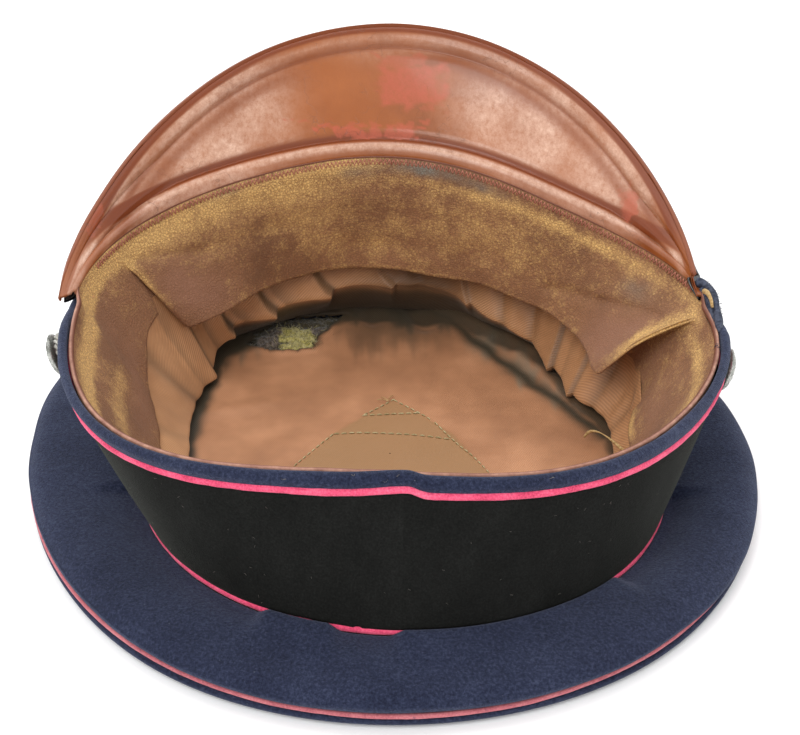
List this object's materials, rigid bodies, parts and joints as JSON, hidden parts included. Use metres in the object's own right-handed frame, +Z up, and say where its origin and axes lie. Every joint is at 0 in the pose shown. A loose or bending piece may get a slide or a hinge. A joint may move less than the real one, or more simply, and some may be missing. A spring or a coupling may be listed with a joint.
{
  "type": "peaked cap",
  "caption": "Peaked service cap lying upside down on its crown, mouth open upward, with piped band, leather sweatband, satin lining and a stiff peak rising at the far side.",
  "frame": {"origin": "middle of the crown's flat face, on the ground, with the cap lying upside down", "axes": "+Z up out of the mouth, +Y toward the peak, +X to the right seen from the back of the cap"},
  "size_m": [0.2303, 0.2497, 0.1005],
  "materials": {
    "navy_wool": "dense napped wool cloth, dark navy",
    "pink_piping": "wool piping, bright pink",
    "black_velvet": "short-pile velvet, black",
    "black_lacquer": "lacquered fibre, glossy black",
    "brown_lacquer": "glossy painted leather, worn in places",
    "brown_leather": "worn grained leather, ochre on its edges",
    "bead_leather": "thin rolled leather edge, reddish brown",
    "tan_lining": "twill satin, copper tan",
    "button_metal": "pebbled grey-silver metal",
    "silver_cord": "twisted silver thread"
  },
  "bodies": {
    "root": {"crown_top": "navy_wool", "crown_side": "navy_wool", "crown_piping": "pink_piping", "joint_piping": "pink_piping", "band": "black_velvet", "rim_piping": "pink_piping", "rim_strip": "navy_wool", "peak": "black_lacquer", "peak_lining": "brown_lacquer", "sweatband": "brown_leather", "sweatband_bead": "bead_leather", "lining_side": "tan_lining", "lining_top": "tan_lining", "button_left": "button_metal", "button_right": "button_metal", "chin_cord": "silver_cord"}
  },
  "joints": []
}
